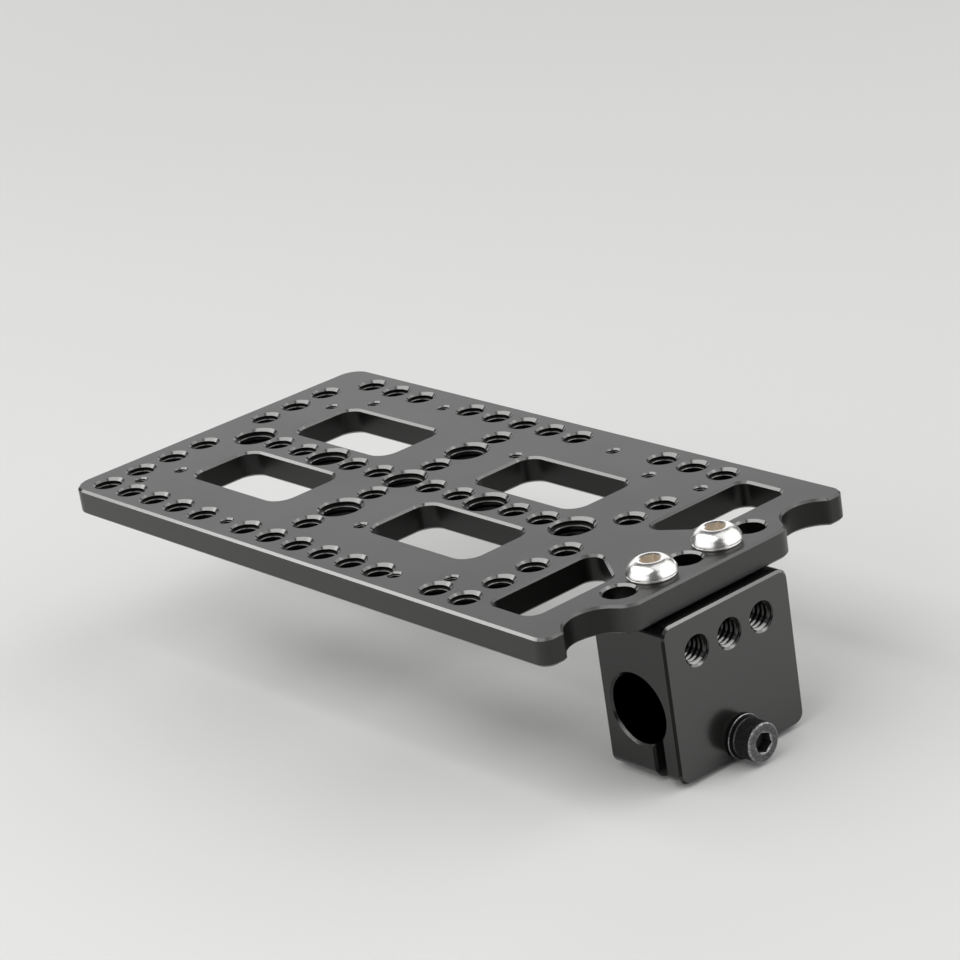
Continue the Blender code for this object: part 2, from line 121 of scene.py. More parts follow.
class HoleSizes(bpy.types.PropertyGroup):
    pitch: length("Pitch", 0.0090, "Spacing of the hole grid")
    first_column: length("First column", -0.1486, "Place of the column at the far end")
    last_column: length("Last column", -0.0250, "Place of the column next to the slots")
    edge_row: length("Edge row", 0.0360, "Distance of the long rows from the middle line")
    quarter_bore: length("Quarter inch bore", 0.0051, "Bore between the crests of the 1/4 inch threads")
    quarter_major: length("Quarter inch major", 0.00635, "Diameter at the roots of the 1/4 inch threads")
    quarter_pitch: length("Quarter inch thread pitch", 0.00127, "Rise in one turn of the 1/4 inch threads")
    quarter_rim: length("Quarter inch rim", 0.0072, "Countersink of the plate's 1/4 inch holes")
    large_bore: length("Three eighths bore", 0.0079, "Bore between the crests of the 3/8 inch threads")
    large_major: length("Three eighths major", 0.009525, "Diameter at the roots of the 3/8 inch threads")
    large_pitch: length("Three eighths thread pitch", 0.0015875, "Rise in one turn of the 3/8 inch threads")
    large_rim: length("Three eighths rim", 0.0104, "Countersink of the 3/8 inch holes")
    small_bore: length("Small bore", 0.0026, "Bore between the crests of the small threads")
    small_major: length("Small major", 0.0030, "Diameter at the roots of the small threads")
    small_pitch: length("Small thread pitch", 0.0005, "Rise in one turn of the small threads")
    small_rim: length("Small rim", 0.0034, "Countersink of the small holes")
    tongue_bore: length("Tongue bore", 0.0067, "Clearance holes in the tongue")
    tongue_chamfer: length("Tongue chamfer", 0.0005, "Chamfer of the clearance holes")


class OpeningSizes(bpy.types.PropertyGroup):
    window_length: length("Window length", 0.0330, "Size of a window along the plate")
    window_width: length("Window width", 0.0175, "Size of a window across the plate")
    window_radius: length("Window radius", 0.0038, "Radius of a window's corners")
    column_web: length("Column web", 0.0298, "Metal between the windows along the plate")
    row_web: length("Row web", 0.0120, "Metal between the windows across the plate")
    slot_near: length("Slot near side", -0.0061, "Place of the slots' side at the tongue")
    slot_width: length("Slot width", 0.0131, "Size of a slot along the plate")
    slot_inner: length("Slot inner end", 0.0055, "Distance of a slot from the middle line")
    slot_outer: length("Slot outer end", 0.0354, "Distance of a slot's far end from the middle line")
    slot_slant: FloatProperty(
        name="Slot slant", description="Slant of a slot's inner end", default=radians(32.0), subtype="ANGLE")
    slot_radius: length("Slot radius", 0.0028, "Radius of a slot's corners")


class BlockSizes(bpy.types.PropertyGroup):
    half_length: length("Half length", BLOCK_HIGH[0], "Half of the block's size along the plate")
    half_width: length("Half width", BLOCK_HIGH[1], "Half of the block's size along the rod")
    top: length("Top", BLOCK_HIGH[2], "Height of the block's top")
    bottom: length("Bottom", BLOCK_LOW[2], "Height of the block's bottom")
    corner_radius: length("Corner radius", 0.0025, "Radius of the long corners")
    chamfer: length("Chamfer", 0.0005, "Chamfer of the end faces, the bore and the slit")
    rod: length("Rod", 0.0150, "Bore for the rod")
    slit_offset: length("Slit offset", 0.0045, "Distance of the slit from the bore's axis")
    slit_width: length("Slit width", 0.0025, "Width of the clamping slit")
    end_hole_level: length("End hole level", 0.0118, "Height of the tapped holes in the end face")
    end_hole_rim: length("End hole rim", 0.0067, "Countersink of the tapped holes in the end face")
    end_hole_depth: length("End hole depth", 0.0050, "Threaded depth of the holes in the end face")
    screw_hole_depth: length("Screw hole depth", 0.0065, "Depth of the holes for the plate screws")


class ScrewSizes(bpy.types.PropertyGroup):
    button_head: length("Button head", BUTTON_HIGH[1] - BUTTON_LOW[1], "Diameter of the button heads")
    button_height: length("Button height", 0.0035, "Height of the button heads")
    button_lip: length("Button lip", 0.00100, "Height of the flange and groove under the dome")
    button_flat: length("Button flat", 0.0060, "Diameter of the flat round the key socket")
    button_fullness: share("Button fullness", 0.30, "How full the dome is, from a plain arc to an oval")
    button_shank: length("Plate screw shank", 0.0060, "Thread diameter of the plate screws")
    button_pitch: length("Plate screw pitch", 0.0010, "Rise in one turn of the plate screws")
    button_length: length("Plate screw length", 0.0120, "Length of the plate screws below the head")
    clamp_head: length("Clamp screw head", 0.0083, "Diameter of the clamp screw's head")
    clamp_height: length("Clamp screw head height", 0.0048, "Height of the clamp screw's head")
    clamp_shank: length("Clamp screw shank", 0.0049, "Thread diameter of the clamp screw")
    clamp_pitch: length("Clamp screw pitch", 0.0008, "Rise in one turn of the clamp screw")
    clamp_length: length("Clamp screw length", 0.0160, "Length of the clamp screw below the head")
    clamp_rim: length("Clamp screw rim", 0.0004, "Chamfer at the clamp screw's head")
    clamp_level: length("Clamp screw level", -0.0105, "Height of the clamp screw's axis")
    key: length("Key", 0.0040, "Width of the key sockets across their flats")
    button_key_depth: length("Button key depth", 0.0021, "Depth of the button heads' sockets")
    clamp_key_depth: length("Clamp key depth", 0.0025, "Depth of the clamp screw's socket")
    clamp_key_turn: FloatProperty(
        name="Clamp key turn", description="How far the clamp screw is turned in",
        default=radians(-20.0), subtype="ANGLE")
    washer_hole: length("Washer hole", 0.0055, "Hole of the washer")
    ridges: IntProperty(
        name="Ridges", description="Knurled ridges round the clamp screw's head", default=72, min=12)


class Finishes(bpy.types.PropertyGroup):
    anodised: tone("Anodised", (0.0110, 0.0104, 0.0099), "Dyed satin skin of the plate and block")
    # Grey of the chamfers and threads: bare cut metal with a painted highlight
    anodised_cut_highlight: tone("Anodised cut", (0.37, 0.37, 0.365), "Brighter skin on the chamfers and threads")
    satin: share("Satin roughness", 0.34, "Roughness of the blasted faces")
    bright_steel: tone("Bright steel", (0.93, 0.92, 0.90), "Polished plate screws")
    # Tan of the key sockets is a painted reflection of brown surroundings
    socket_reflection_tint: tone("Socket steel", (0.82, 0.75, 0.66), "Unpolished inside of the key sockets")
    black_steel: tone("Black steel", (0.036, 0.036, 0.037), "Oxide finish of the clamp screw")
    floor: tone("Floor", (0.80, 0.80, 0.79), "Pale floor")


class CheesePlateSettings(bpy.types.PropertyGroup):
    plate: PointerProperty(type=PlateSizes)
    holes: PointerProperty(type=HoleSizes)
    openings: PointerProperty(type=OpeningSizes)
    block: PointerProperty(type=BlockSizes)
    screws: PointerProperty(type=ScrewSizes)
    finishes: PointerProperty(type=Finishes)


def sizes():
    """Return the scene's settings."""
    return bpy.context.scene.cheese_plate


def only(obj):
    """Leave one object selected and active."""
    bpy.ops.object.select_all(action="DESELECT")
    obj.select_set(True)
    bpy.context.view_layer.objects.active = obj


def edit(obj, selection="DESELECT"):
    """Enter edit mode on one object with nothing selected, or everything."""
    only(obj)
    bpy.ops.object.mode_set(mode="EDIT")
    bpy.ops.mesh.select_all(action=selection)


def leave():
    """Go back to object mode."""
    bpy.ops.object.mode_set(mode="OBJECT")


def face_outwards():
    """Point every face outwards, and go back to object mode."""
    bpy.ops.mesh.select_all(action="SELECT")
    bpy.ops.mesh.normals_make_consistent(inside=False)
    leave()


def pick(obj, kind, test):
    """In edit mode, select what passes a test; kind is verts, edges or faces."""
    bpy.ops.mesh.select_mode(type={"verts": "VERT", "edges": "EDGE", "faces": "FACE"}[kind])
    bm = bmesh.from_edit_mesh(obj.data)
    for item in getattr(bm, kind):
        item.select_set(bool(test(item)))
    bm.select_flush_mode()
    bmesh.update_edit_mesh(obj.data)


def place(obj, matrix):
    """Move a shape and leave its object at the origin."""
    obj.matrix_world = matrix @ obj.matrix_world
    only(obj)
    bpy.ops.object.transform_apply(location=True, rotation=True, scale=True)
    return obj


def modify(obj, kind, **settings):
    """Add a modifier and apply it."""
    only(obj)
    modifier = obj.modifiers.new(kind, kind)
    for name, value in settings.items():
        setattr(modifier, name, value)
    bpy.ops.object.modifier_apply(modifier=modifier.name)


def combine(obj, tool, operation):
    """Combine an object with a second solid, and remove that one."""
    modify(obj, "BOOLEAN", operation=operation, solver="EXACT", object=tool)
    bpy.data.objects.remove(tool, do_unlink=True)
    return obj


def cut(obj, *tools):
    """Take solids out of an object, and remove them."""
    for tool in tools:
        combine(obj, tool, "DIFFERENCE")
    return obj


def join(name, parts):
    """Join objects into one."""
    only(parts[0])
    for part in parts:
        part.select_set(True)
    bpy.ops.object.join()
    parts[0].name = name
    return parts[0]


def copy_to(obj, matrix):
    """Return a copy with its own mesh, moved."""
    twin = obj.copy()
    twin.data = obj.data.copy()
    bpy.context.collection.objects.link(twin)
    return place(twin, matrix)


def draw(name, start, moves):
    """Draw a line from one vertex on, and return its object.

    A move is a point to go straight to, or an arc's centre x, centre y, turn and steps.
    """
    bpy.ops.mesh.primitive_plane_add(size=0.001)
    obj = bpy.context.object
    obj.name = name
    bpy.ops.object.mode_set(mode="EDIT")
    bpy.ops.mesh.select_mode(type="VERT")
    bpy.ops.mesh.merge(type="CENTER")
    bpy.ops.transform.translate(value=start)
    x, y, z = start
    for move in moves:
        if len(move) == 3:
            bpy.ops.mesh.extrude_region_move(
                TRANSFORM_OT_translate={"value": (move[0] - x, move[1] - y, move[2] - z)})
            x, y, z = move
        else:
            centre_x, centre_y, turn, steps = move
            bpy.ops.mesh.spin(steps=steps, angle=-turn, center=(centre_x, centre_y, z), axis=(0, 0, 1))
            x, y = (
                centre_x + (x - centre_x) * cos(turn) - (y - centre_y) * sin(turn),
                centre_y + (x - centre_x) * sin(turn) + (y - centre_y) * cos(turn),
            )
    leave()
    return obj


def rounded_moves(corners, radius, steps):
    """Return the start and the moves that draw a convex outline with round corners."""
    moves = []
    count = len(corners)
    for i, (x, y, z) in enumerate(corners):
        before, after = corners[i - 1], corners[(i + 1) % count]
        into = atan2(y - before[1], x - before[0])
        turn = (atan2(after[1] - y, after[0] - x) - into) % (2 * pi)
        reach = radius * tan(turn / 2)
        start_x, start_y = x - reach * cos(into), y - reach * sin(into)
        moves.append((start_x, start_y, z))
        moves.append((start_x - radius * sin(into), start_y + radius * cos(into), turn, steps))
    return moves[0], moves[1:]


def fill_and_raise(obj, height):
    """Close an outline, fill it and pull it up into a solid."""
    edit(obj, "SELECT")
    bpy.ops.mesh.remove_doubles(threshold=MERGE)
    bpy.ops.mesh.edge_face_add()
    bpy.ops.mesh.extrude_region_move(TRANSFORM_OT_translate={"value": (0, 0, height)})
    face_outwards()
    return obj


def turned(name, profile, sides):
    """Turn a solid round Z from a profile of (radius, height), closed by itself or by the axis."""
    (radius, height), *rest = profile
    obj = draw(name, (radius, 0, height), [(r, 0, z) for r, z in rest])
    edit(obj, "SELECT")
    bpy.ops.mesh.spin(steps=sides, angle=2 * pi, center=(0, 0, 0), axis=(0, 0, 1))
    bpy.ops.mesh.select_all(action="SELECT")
    bpy.ops.mesh.remove_doubles(threshold=MERGE)
    face_outwards()
    return obj


# Half the angle of a thread's groove, and the break of a crest over the pitch
FLANK_ANGLE = radians(30)
CREST_BREAK = 0.11


def thread(name, bore, major, pitch, bottom, top, lip, sides):
    """Return a closed right-hand screw thread about Z, cut square at both ends.

    Lip is the height of one crest at +X.
    """
    crest, bevel = pitch / 4, pitch * CREST_BREAK
    low, high = bore / 2, major / 2
    upper = (high - low) * tan(FLANK_ANGLE)
    lower = (high - low - bevel) * tan(FLANK_ANGLE)
    z = lip - (int((lip - bottom) / pitch) + 2) * pitch
    obj = draw(name, (low, 0, z), [
        (low, 0, z + crest - bevel), (low + bevel, 0, z + crest), (high, 0, z + crest + lower),
        (high, 0, z + pitch - upper), (low, 0, z + pitch),
    ])
    turns = int((top - bottom) / pitch) + 4
    modify(obj, "SCREW", screw_offset=pitch, iterations=turns, steps=sides, render_steps=sides, axis="Z")
    edit(obj, "SELECT")
    bpy.ops.mesh.remove_doubles(threshold=MERGE)
    for level, normal in ((bottom, (0, 0, -1)), (top, (0, 0, 1))):
        bpy.ops.mesh.select_all(action="SELECT")
        bpy.ops.mesh.bisect(
            plane_co=(0, 0, level), plane_no=normal, use_fill=True, clear_outer=True, threshold=MERGE / 10)
    face_outwards()
    return obj


def countersunk(name, bore, rim, bottom, top, sides):
    """Return the cutter of a through hole that is countersunk at both faces."""
    flare = (rim - bore) / 2
    low, high = bore / 2, rim / 2 + EPSILON
    return turned(name, [
        (0, bottom - EPSILON), (high, bottom - EPSILON), (low, bottom + flare),
        (low, top - flare), (high, top + EPSILON), (0, top + EPSILON),
    ], sides)


def chamfer_corners(obj, width, test=lambda edge: True):
    """Chamfer the corners that pass a test, all at once."""
    edit(obj)
    pick(obj, "edges", lambda edge: (
        len(edge.link_faces) == 2 and edge.calc_face_angle(0) > CORNER_ANGLE and test(edge)))
    bpy.ops.mesh.bevel(
        offset=width, offset_type="OFFSET", segments=1, affect="EDGES", clamp_overlap=False)
    leave()


# Marks of the faces, for the finish to read: 1 is a bright cut with a painted highlight, 0 the plain skin, -1
# painted shade as dark metal
CUT_AND_HIGHLIGHT, SKIN, PAINTED_SHADE = 1.0, 0.0, -1.0
# A face looks along an axis when its normal has more of that axis than this
FACING = 0.95


def slanted(part):
    """Tell from one part of its normal whether a face slants by about 45 degrees."""
    return 0.6 < part < 0.8


def mark_cuts_and_light(obj, mark):
    """Store the mark of each face: cut metal, painted highlights and painted shade."""
    marks = obj.data.attributes.new("fresh_cut", "FLOAT", "FACE")
    marks.data.foreach_set("value", [float(mark(face)) for face in obj.data.polygons])


def dress(obj, material, node):
    """Give a piece its finish, and let it stand for its CAD node on the frame."""
    obj.data.materials.clear()
    obj.data.materials.append(material)
    only(obj)
    bpy.ops.object.shade_smooth_by_angle(angle=SHARP_ANGLE)
    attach(obj, "root")
    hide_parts(node)


def middle_column():
    """Return the place of the column halfway between the first and the last."""
    h = sizes().holes
    return (h.first_column + h.last_column) / 2


def quarter_places():
    """Return the places of the 1/4 inch holes: two edge rows, two columns and the middle lines."""
    h, middle = sizes().holes, middle_column()
    places = [(h.first_column + n * h.pitch, -h.edge_row) for n in range(5)]
    places += [(h.last_column - n * h.pitch, -h.edge_row) for n in (0, 1, 3, 4, 5, 6, 7, 8)]
    places += [(h.last_column - n * h.pitch, h.edge_row) for n in (0, 1, 2, 5, 6, 7, 8, 9, 11, 12, 13)]
    places += [(h.first_column, n * h.pitch) for n in (-3, -2, -1, 1, 2, 3)]
    places += [(h.last_column, n * h.pitch) for n in (-3, -2, -1, 1, 2)]
    places += [(middle + n * h.pitch, 0) for n in (-5, -4, -2, -1, 1, 2, 4, 5)]
    places += [(middle, n * h.pitch) for n in (-3, -1, 1, 3)]
    return places


def large_places():
    """Return the places of the 3/8 inch holes on the middle lines."""
    pitch, middle = sizes().holes.pitch, middle_column()
    return [(middle + n * pitch, 0) for n in (-6, -3, 0, 3, 6)] + [(middle, n * pitch) for n in (-2, 2)]


# Small holes from the first column and the middle line; a pair has its first place and its spacing
SMALL_SQUARE = ((0.0091, -0.0224), (0.0091, 0.0216), (0.0741, -0.0224), (0.0741, 0.0216))
SMALL_PAIRS = (
    (0.0446, -0.0359, 0.0570), (0.0352, 0.0340, 0.0570),
    (0.0172, 0.0279, 0.0924), (0.0054, -0.0309, 0.1082),
)
SMALL_SINGLE = (0.1251, 0.0279)


def small_places():
    """Return the places of the small holes, which serve several accessory patterns."""
    first = sizes().holes.first_column
    pairs = [place for x, y, spacing in SMALL_PAIRS for place in ((x, y), (x + spacing, y))]
    return [(first + x, y) for x, y in (*SMALL_SQUARE, *pairs, SMALL_SINGLE)]


def spread(name, obj, places):
    """Copy a cutter to each place, join the copies and remove the first."""
    copies = [copy_to(obj, Matrix.Translation((x, y, 0))) for x, y in places]
    bpy.data.objects.remove(obj, do_unlink=True)
    return join(name, copies)


def plate_blank():
    """Return the plate's body, with its tongue, ears and hollow shoulders."""
    s = sizes().plate
    half = s.width / 2
    ear_end = s.tongue_end - s.ear_setback
    hollow_x = s.tongue_end - s.hollow_depth + s.hollow_radius
    tongue_x = s.tongue_end - s.tongue_radius
    tip_x = ear_end - s.ear_tip_radius
    tongue_y = s.hollow_offset - sqrt((s.hollow_radius + s.tongue_radius) ** 2 - (hollow_x - tongue_x) ** 2)
    tip_y = s.hollow_offset + sqrt((s.hollow_radius + s.ear_tip_radius) ** 2 - (hollow_x - tip_x) ** 2)
    into = atan2(s.hollow_offset - tongue_y, hollow_x - tongue_x)
    out = atan2(s.hollow_offset - tip_y, hollow_x - tip_x)
    z = s.underside
    blank = draw("milled_plate", (s.tongue_end, 0, z), [
        (s.tongue_end, tongue_y, z),
        (tongue_x, tongue_y, into, 10),
        (hollow_x, s.hollow_offset, out - into, 24),
        (tip_x, tip_y, -out, 5),
        (ear_end, half - s.ear_radius, z),
        (ear_end - s.ear_radius, half - s.ear_radius, pi / 2, 10),
        (s.far_end + s.corner_radius, half, z),
        (s.far_end + s.corner_radius, half - s.corner_radius, pi / 2, 12),
        (s.far_end, 0, z),
    ])
    modify(blank, "MIRROR", use_axis=(False, True, False), use_clip=True, merge_threshold=MERGE)
    return fill_and_raise(blank, s.top - s.underside)


def plate_openings():
    """Return the cutters of the four windows and the two slots."""
    s, o = sizes().plate, sizes().openings
    low, high = s.underside - EPSILON, s.top + EPSILON
    a, b = o.window_length / 2, o.window_width / 2
    corners = [(-a, -b, low), (a, -b, low), (a, b, low), (-a, b, low)]
    window = draw("window", *rounded_moves(corners, o.window_radius, 10))
    fill_and_raise(window, high - low)
    step_x, step_y = (o.column_web + o.window_length) / 2, (o.row_web + o.window_width) / 2
    places = [(middle_column() + side * step_x, y) for side in (-1, 1) for y in (-step_y, step_y)]
    cutters = [spread("windows", window, places)]
    far = o.slot_near - o.slot_width
    reach = o.slot_inner + o.slot_width * tan(o.slot_slant)
    rear = [
        (far, o.slot_inner, low), (o.slot_near, reach, low),
        (o.slot_near, o.slot_outer, low), (far, o.slot_outer, low),
    ]
    front = [(x, -y, z) for x, y, z in reversed(rear)]
    for corners in (rear, front):
        slot = draw("slot", *rounded_moves(corners, o.slot_radius, 8))
        cutters.append(fill_and_raise(slot, high - low))
    return join("windows_and_slots", cutters)


def chamfer_faces(plate):
    """Chamfer every edge of the two faces."""
    s = sizes().plate
    chamfer_corners(plate, s.chamfer, lambda edge: any(
        all(abs(v.co.z - level) < EPSILON / 10 for v in edge.verts) for level in (s.underside, s.top)))


# Marks of the plate's countersinks and chamfers, its upper crests and flanks, and its walls: cut metal with
# painted highlights, weaker where a chamfer faces the clamp, and painted shade on the walls
SINK_MARK, LONG_CHAMFER_MARK, END_CHAMFER_MARK = 0.5, 0.33, 0.22
CREST_MARK, FLANK_MARK = 0.2, 0.3
OUTER_MARK, OPENING_MARK, HOLLOW_MARK = -0.2, -0.65, -0.68
# Depth past every countersink, and the areas of a thread's sliver and of a long chamfer
SINK_DEPTH, SLIVER, LONG_CHAMFER = 0.0013, 1e-8, 3e-6
# How much a chamfer faces the clamp, and how many pitches from the bore the clamp end starts
TO_CLAMP, END_START = 0.25, 2.35
# How many hollow depths the clamp end's walls reach back, and how fast a hollow's painted shade deepens
END_WALLS, HOLLOW_GAIN = 1.1, 1.6


def plate_mark(face, reach):
    """Return the mark of a face of the plate; threads get a painted highlight only above the height reach,
    painted shade below it.
    """
    s = sizes().plate
    x, y, z = face.center
    lean = abs(face.normal.z)
    if lean > FACING:
        return SKIN
    if slanted(lean):
        if min(s.top - z, z - s.underside) > SINK_DEPTH or face.area < SLIVER:
            return CREST_MARK if z > reach else PAINTED_SHADE
        pitch, to_clamp = sizes().holes.pitch, face.normal.x > TO_CLAMP
        in_hole = min(hypot(x, abs(y) - n * pitch) for n in range(3)) < pitch / 2
        if x > END_START * -pitch and to_clamp and not in_hole:
            return END_CHAMFER_MARK
        return LONG_CHAMFER_MARK if to_clamp and face.area > LONG_CHAMFER else SINK_MARK
    # Upright walls: painted shade, deepening into the hollows and darker in the openings
    if lean < EPSILON:
        depth = (s.tongue_end - x) / s.hollow_depth
        if depth < END_WALLS:
            inward = min(1, (s.width / 2 - abs(y)) / s.ear_radius)
            return OUTER_MARK + inward * (HOLLOW_MARK * min(1, HOLLOW_GAIN * depth) - OUTER_MARK)
        outside = abs(y) > s.width / 2 - EPSILON or x < s.far_end + s.corner_radius
        return OUTER_MARK if outside else OPENING_MARK
    return FLANK_MARK if lean < 0.5 and z > reach else PAINTED_SHADE


# Depths of the first crest at +X in the large and the small threads, and of the last crest with a painted
# highlight
LIP, SMALL_LIP, LIT_DEPTH = 0.0008, 0.0005, 0.0022
# Refractive index of the plate's and the block's skin, the block's higher one brightening its end face as
# painted light, and the block's roughness over the plate's
PLATE_IOR, BLOCK_IOR, BLOCK_ROUGHNESS = 1.65, 1.82, 0.56


class CHEESEPLATE_OT_plate(bpy.types.Operator):
    """Mill the plate and tap its holes"""
    bl_idname = "cheese_plate.mill_plate"
    bl_label = "Plate"

    def execute(self, context):
        s, h, f = sizes().plate, sizes().holes, sizes().finishes
        plate = plate_blank()
        cut(plate, plate_openings())
        chamfer_faces(plate)
        tongue_rim = h.tongue_bore + 2 * h.tongue_chamfer
        tongue = countersunk("clearance", h.tongue_bore, tongue_rim, s.underside, s.top, 40)
        cut(plate, spread("clearance", tongue, [(0, n * h.pitch) for n in range(-2, 3)]))
        threads = []
        low, high = s.underside - EPSILON, s.top + EPSILON
        for kind, places, lip, sides in (
            ("quarter", quarter_places(), LIP, 32),
            ("large", large_places(), LIP, 40),
            ("small", small_places(), SMALL_LIP, 16),
        ):
            bore, major, pitch, rim = (
                getattr(h, kind + size) for size in ("_bore", "_major", "_pitch", "_rim"))
            sink = countersunk(kind + "_sink", bore - 2 * EPSILON, rim, s.underside, s.top, sides)
            cut(plate, spread(kind + "_sinks", sink, places))
            tap = thread(kind + "_tap", bore, major, pitch, low, high, s.top - lip, sides)
            threads.append(spread(kind + "_taps", tap, places))
        cut(plate, join("taps", threads))
        mark_cuts_and_light(plate, lambda face: plate_mark(face, s.top - LIT_DEPTH))
        finish = anodised("anodised_plate", f.anodised, f.anodised_cut_highlight, f.satin, PLATE_IOR)
        dress(plate, finish, "cheese_plate")
        return {"FINISHED"}


def block_blank():
    """Return the block's bar with round long corners and chamfered end faces."""
    s = sizes().block
    a, end = s.half_width, s.half_length
    corners = [(-a, s.bottom, -end), (a, s.bottom, -end), (a, s.top, -end), (-a, s.top, -end)]
    bar = draw("clamp_block", *rounded_moves(corners, s.corner_radius, 10))
    fill_and_raise(bar, 2 * end)
    chamfer_corners(bar, s.chamfer)
    return place(bar, ALONG_X)


def rod_bore():
    """Return the cutter of the rod bore, flared at both side faces."""
    s = sizes().block
    rim = s.rod + 2 * s.chamfer
    return place(countersunk("rod_bore", s.rod, rim, -s.half_width, s.half_width, 96), ALONG_Y)


# Depth of the slit's upper end below the bore's axis, over the bore's radius
SLIT_TOP = 0.7
# Height of a drill's point, and the drilled depth past a thread, over the drill's radius
DRILL_POINT, RUNOUT = 0.6, 0.3
# Depth of the first crest in the block's threads, and a screw's gaps round it and past its tip
END_LIP, SCREW_PLAY, TIP_PLAY = 0.0012, 0.0003, 0.0002


def clamp_slit():
    """Return the cutter of the slit, flared where it meets the side faces."""
    s = sizes().block
    low, high = s.bottom - s.chamfer, -s.rod / 2 * SLIT_TOP
    bpy.ops.mesh.primitive_cube_add(size=1, location=(s.slit_offset, 0, (low + high) / 2))
    slit = bpy.context.object
    slit.scale = (s.slit_width, 2 * (s.half_width - s.chamfer), high - low)
    bpy.ops.object.transform_apply(location=True, rotation=True, scale=True)
    flare = s.chamfer + EPSILON
    for side in (-1, 1):
        edit(slit)
        pick(slit, "faces", lambda face: face.normal.y * side > 0.9)
        bpy.ops.mesh.extrude_region_move(TRANSFORM_OT_translate={"value": (0, side * flare, 0)})
        bpy.ops.transform.resize(
            value=(1 + 2 * flare / s.slit_width, 1, 1 + 2 * flare / (high - low)),
            center_override=(s.slit_offset, side * (s.half_width + EPSILON), (low + high) / 2))
        leave()
    return slit


def blind_hole(name, radius, rim, bottom, top, sides):
    """Return the cutter of a drilled hole along Z that is countersunk at its mouth."""
    return turned(name, [
        (0, bottom - radius * DRILL_POINT), (radius, bottom), (radius, top + radius - rim),
        (rim + EPSILON, top + EPSILON), (0, top + EPSILON),
    ], sides)


def end_hole(y):
    """Return the cutters of one tapped blind hole in the end face: its drilled point and its thread."""
    s, h = sizes().block, sizes().holes
    radius, depth = h.quarter_bore / 2 - EPSILON, s.end_hole_depth
    drill = blind_hole("drill", radius, s.end_hole_rim / 2, -depth - radius * RUNOUT, 0, 40)
    tap = thread("tap", h.quarter_bore, h.quarter_major, h.quarter_pitch, -depth, EPSILON, -END_LIP, 40)
    mouth = Matrix.Translation((s.half_length, y, s.end_hole_level)) @ ALONG_X
    return place(drill, mouth), place(tap, mouth)


# Painted shade on the block's sides, on its top in the tongue's shadow and on its upright edges
SIDE_MARK, TOP_MARK, UPRIGHT_MARK = -0.5, -0.8, -0.9
# How far the top's mark reaches down, and the holes along X from the middle
TOP_BAND, HOLES_REACH = 0.002, 0.014


def raised(lift, start, low, high, gain=3.5):
    """Return a mark of painted light and shade that grows with how much a face looks up, from start on,
    between two bounds.
    """
    return max(low, min(high, (lift - start) * gain))


def block_mark(face, bore):
    """Return the mark of a face of the block: painted highlights where it looks up, painted shade in the bore
    and where it looks down.
    """
    x, y, lift = abs(face.normal.x), abs(face.normal.y), face.normal.z
    if hypot(face.center.x, face.center.z) < bore and y < 0.1:
        return PAINTED_SHADE
    if y > FACING:
        return SIDE_MARK
    if x < EPSILON and lift > 0.2 and face.center.z > BLOCK_HIGH[2] - TOP_BAND:
        return TOP_MARK
    # Walls of the holes along X, painted shade where they look down
    if x < EPSILON and lift > -0.999 and abs(face.center.y) < HOLES_REACH:
        return raised(lift, 0.5, PAINTED_SHADE, SKIN, gain=1)
    if x > FACING or x < EPSILON and not slanted(y):
        return SKIN
    # Flanks of their threads: painted highlight where they look up, painted shade where they look down
    if 0.8 < x < 0.9:
        return raised(lift, 0.2, PAINTED_SHADE, CUT_AND_HIGHLIGHT)
    # Edges of the side faces, then of the end faces: painted shade on the upright ones, else painted light
    # and shade by how much they look up
    if y > 0.6:
        return UPRIGHT_MARK if abs(lift) < EPSILON else raised(lift, 0.45, -0.5, 0.5)
    return raised(lift, 0.2, PAINTED_SHADE, 0.5)


class CHEESEPLATE_OT_block(bpy.types.Operator):
    """Mill the clamp block, its bore, slit and holes"""
    bl_idname = "cheese_plate.mill_block"
    bl_label = "Clamp block"

    def execute(self, context):
        s, h, k, f = sizes().block, sizes().holes, sizes().screws, sizes().finishes
        block = block_blank()
        cut(block, rod_bore(), clamp_slit())
        drills, taps = zip(*[end_hole(n * h.pitch) for n in (-1, 0, 1)])
        cut(block, join("drills", drills))
        radius, bottom = k.button_shank / 2 + SCREW_PLAY, s.top - s.screw_hole_depth
        for y in (-h.pitch, h.pitch):
            hole = blind_hole("screw_hole", radius, radius + s.chamfer, bottom, s.top, 32)
            cut(block, place(hole, Matrix.Translation((0, y, 0))))
        radius, bottom = k.clamp_shank / 2 + SCREW_PLAY, -(k.clamp_length + TIP_PLAY)
        hole = turned("clamp_hole", [
            (0, bottom - radius * DRILL_POINT), (radius, bottom), (radius, EPSILON), (0, EPSILON),
        ], 32)
        cut(block, place(hole, Matrix.Translation((s.half_length, 0, k.clamp_level)) @ ALONG_X))
        cut(block, join("taps", taps))
        mark_cuts_and_light(block, lambda face: block_mark(face, s.rod / 2 + EPSILON))
        roughness = f.satin * BLOCK_ROUGHNESS
        finish = anodised("anodised_block", f.anodised, f.anodised_cut_highlight, roughness, BLOCK_IOR)
        dress(block, finish, "rod_clamp_block")
        return {"FINISHED"}


# Depth of the drilled point below a key socket, and its radius over the socket's width
KEY_POINT, KEY_DRILL = 0.0006, 0.46
# Depth and radius of the break at a key socket's mouth, over the radius of its corners
MOUTH_DEPTH, MOUTH_RADIUS = 0.55, 1.09
# How much thinner than its thread a shank is, and how far it reaches into the head
THREAD_PLAY, SHANK_OVERLAP = 0.0001, 0.0003
# How much smaller a thread's root is across, and the chamfer of a screw's tip, over the pitch
ROOT, TIP_CHAMFER = 1.1, 0.6


